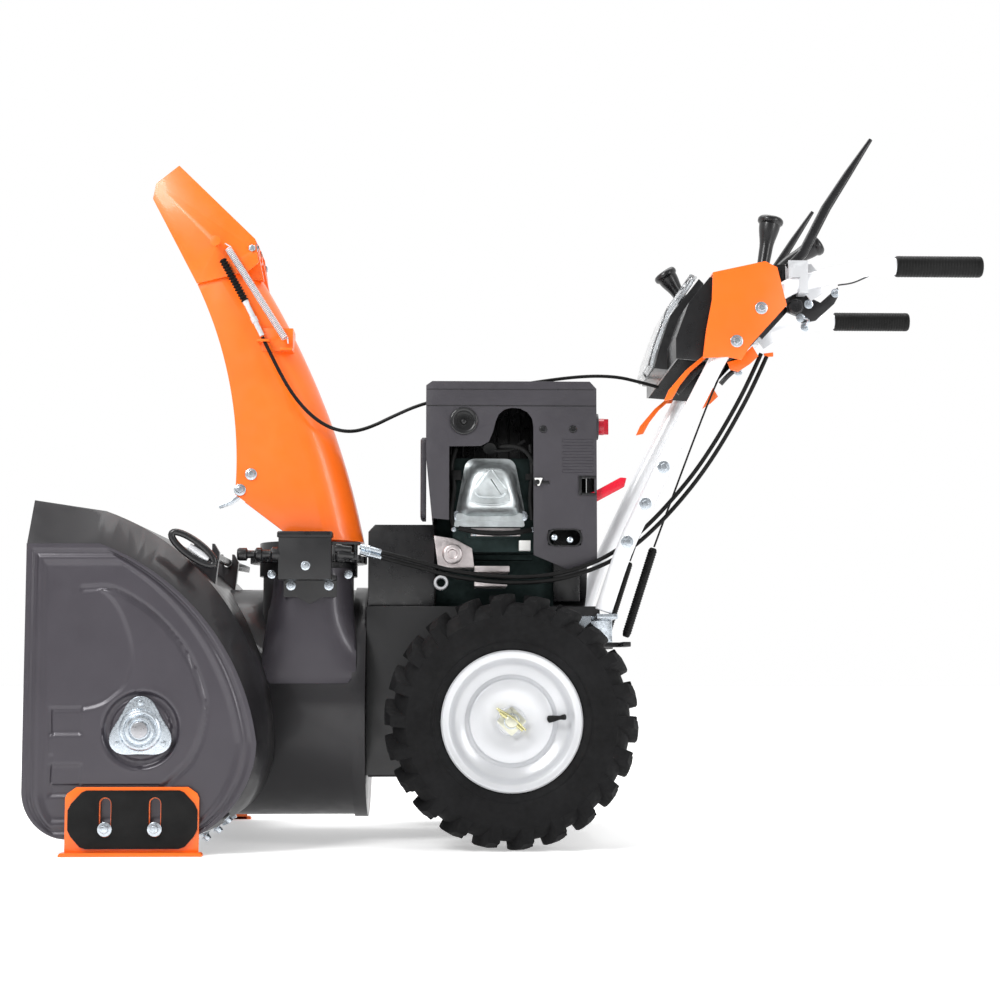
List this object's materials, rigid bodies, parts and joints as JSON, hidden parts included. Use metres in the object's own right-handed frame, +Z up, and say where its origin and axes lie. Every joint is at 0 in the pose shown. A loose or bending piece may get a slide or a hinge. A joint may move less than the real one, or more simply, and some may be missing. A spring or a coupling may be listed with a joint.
{
  "type": "snow blower",
  "caption": "Two-stage petrol snow blower with auger housing, tall turning chute and tilting deflector, engine under a hood, chunky wheels, control panel and handlebars.",
  "frame": {"origin": "on the ground under the middle of the bounding box", "axes": "+X back to the operator, +Y to the right of the machine, +Z up"},
  "size_m": [1.536, 0.752, 1.164],
  "materials": {
    "housing_paint": "satin charcoal paint",
    "orange_paint": "gloss orange paint",
    "black_paint": "satin black paint",
    "zinc": "bright zinc plate",
    "steel": "machined steel",
    "silver_paint": "silver paint",
    "cast_alloy": "die cast",
    "tyre_rubber": "moulded tread",
    "rubber": "matt",
    "hood_plastic": "fine grained moulding",
    "black_plastic": "moulded",
    "red_plastic": "moulded",
    "lens": "clear"
  },
  "bodies": {
    "machine": {"auger_wrapper": "housing_paint", "side_plates": "housing_paint", "scraper_bar": "black_paint", "auger_bearings": "zinc", "skid_bolts": "zinc", "gearbox": "black_paint", "impeller_drum": "housing_paint", "discharge_outlet": "housing_paint", "turning_bracket": "black_paint", "tractor_frame": "black_paint", "bottom_cover": "black_paint", "axle_bushes": "steel", "belt_cover": "black_paint", "drive_belt": "rubber", "engine_block": "cast_alloy", "valve_cover": "cast_alloy", "engine_hood": "hood_plastic", "fuel_tank": "hood_plastic", "muffler": "black_paint", "recoil_housing": "hood_plastic", "spark_lead": "rubber", "handlebars": "silver_paint", "handle_brackets": "black_paint", "grips": "rubber", "lever_brackets": "black_paint", "panel_sides": "orange_paint", "dash": "black_plastic", "headlight_lens": "lens", "turning_cables": "rubber", "clutch_cables": "steel", "clutch_springs": "rubber", "deflector_cable": "rubber"},
    "wheels": {"axle": "steel", "drive_gear": "steel", "tyres": "tyre_rubber", "rims": "silver_paint"},
    "augers": {"auger_shaft": "steel", "auger_flights": "black_paint"},
    "impeller": {"impeller_shaft": "steel", "impeller": "black_paint", "impeller_pulley": "steel"},
    "crank": {"crankshaft": "steel", "crank_pulley": "steel"},
    "chute": {"chute_ring": "black_plastic", "chute": "orange_paint", "return_spring": "zinc", "cable_boot": "rubber"},
    "deflector": {"deflector": "orange_paint"},
    "skid_left": {"skid_left": "orange_paint"},
    "skid_right": {"skid_right": "orange_paint"},
    "paddle_left": {"paddle_left": "black_plastic"},
    "paddle_right": {"paddle_right": "black_plastic"},
    "chute_lever": {"chute_lever": "black_plastic"},
    "speed_lever": {"speed_lever": "black_plastic"},
    "deflector_lever": {"deflector_lever": "black_plastic"},
    "throttle": {"throttle_lever": "red_plastic"},
    "engine_knob": {"engine_knob": "red_plastic"},
    "recoil_handle": {"recoil_handle": "black_plastic"},
    "fuel_cap": {"fuel_cap": "black_plastic"},
    "clean_out_tool": {"clean_out_tool": "black_plastic"}
  },
  "joints": [
    {"name": "wheel_axle", "type": "hinge", "parent": "machine", "child": "wheels", "pos_m": [-0.012, 0, 0.203], "axis": [0, 1, 0], "continuous": true},
    {"name": "auger_spin", "type": "hinge", "parent": "machine", "child": "augers", "pos_m": [-0.587, 0, 0.192], "axis": [0, 1, 0], "continuous": true},
    {"name": "impeller_spin", "type": "hinge", "parent": "machine", "child": "impeller", "pos_m": [-0.35, 0, 0.23], "axis": [1, 0, 0], "continuous": true},
    {"name": "crank_spin", "type": "hinge", "parent": "machine", "child": "crank", "pos_m": [0, 0, 0.47], "axis": [1, 0, 0], "continuous": true},
    {"name": "chute_turn", "type": "hinge", "parent": "machine", "child": "chute", "pos_m": [-0.348, -0.11, 0.462], "axis": [0, 0, 1], "range_deg": [-100, 100], "deforming": ["deflector_cable"]},
    {"name": "deflector_tilt", "type": "hinge", "parent": "chute", "child": "deflector", "pos_m": [-0.441, -0.11, 0.984], "axis": [0, -1, 0], "range_deg": [0, 50], "stiffness_Nm_per_rad": 1, "springref_deg": -45.84, "deforming": ["return_spring", "cable_boot"]},
    {"name": "skid_left_height", "type": "slide", "parent": "machine", "child": "skid_left", "axis": [0, 0, -1], "range_m": [0, 0.04]},
    {"name": "skid_right_height", "type": "slide", "parent": "machine", "child": "skid_right", "axis": [0, 0, -1], "range_m": [0, 0.04]},
    {"name": "paddle_left_pivot", "type": "hinge", "parent": "machine", "child": "paddle_left", "pos_m": [0.452, -0.25, 0.946], "axis": [0, 1, 0], "range_deg": [0, 46], "stiffness_Nm_per_rad": 0.8, "springref_deg": -34.38},
    {"name": "paddle_right_pivot", "type": "hinge", "parent": "machine", "child": "paddle_right", "pos_m": [0.452, 0.25, 0.946], "axis": [0, 1, 0], "range_deg": [0, 46], "stiffness_Nm_per_rad": 0.8, "springref_deg": -34.38},
    {"name": "chute_lever_pivot", "type": "hinge", "parent": "machine", "child": "chute_lever", "pos_m": [0.362, 0.125, 0.9], "axis": [0, 1, 0], "range_deg": [-12, 12]},
    {"name": "speed_lever_pivot", "type": "hinge", "parent": "machine", "child": "speed_lever", "pos_m": [0.405, 0, 0.905], "axis": [0, 1, 0], "range_deg": [-36, 10]},
    {"name": "deflector_lever_pivot", "type": "hinge", "parent": "machine", "child": "deflector_lever", "pos_m": [0.436, -0.14, 0.905], "axis": [0, 1, 0], "range_deg": [-20, 2]},
    {"name": "throttle_pivot", "type": "hinge", "parent": "machine", "child": "throttle", "pos_m": [0.116, -0.216, 0.563], "axis": [0, -1, 0], "range_deg": [-10, 10]},
    {"name": "engine_knob_turn", "type": "hinge", "parent": "machine", "child": "engine_knob", "pos_m": [0.145, -0.15, 0.692], "axis": [1, 0, 0], "range_deg": [0, 90]},
    {"name": "recoil_pull", "type": "slide", "parent": "machine", "child": "recoil_handle", "axis": [1, 0, 0], "range_m": [0, 0.4]},
    {"name": "fuel_cap_turn", "type": "hinge", "parent": "machine", "child": "fuel_cap", "pos_m": [0.05, 0.12, 0.745], "axis": [0, 0, 1], "range_deg": [0, 120]},
    {"name": "tool_lift", "type": "slide", "parent": "machine", "child": "clean_out_tool", "axis": [0, 0, 1], "range_m": [0, 0.1]}
  ],
  "couplings": [
    {"joint": "impeller_spin", "follows": "auger_spin", "ratio": 10},
    {"joint": "chute_lever_pivot", "follows": "chute_turn", "ratio": 0.12},
    {"joint": "deflector_lever_pivot", "follows": "deflector_tilt", "ratio": -0.4}
  ]
}
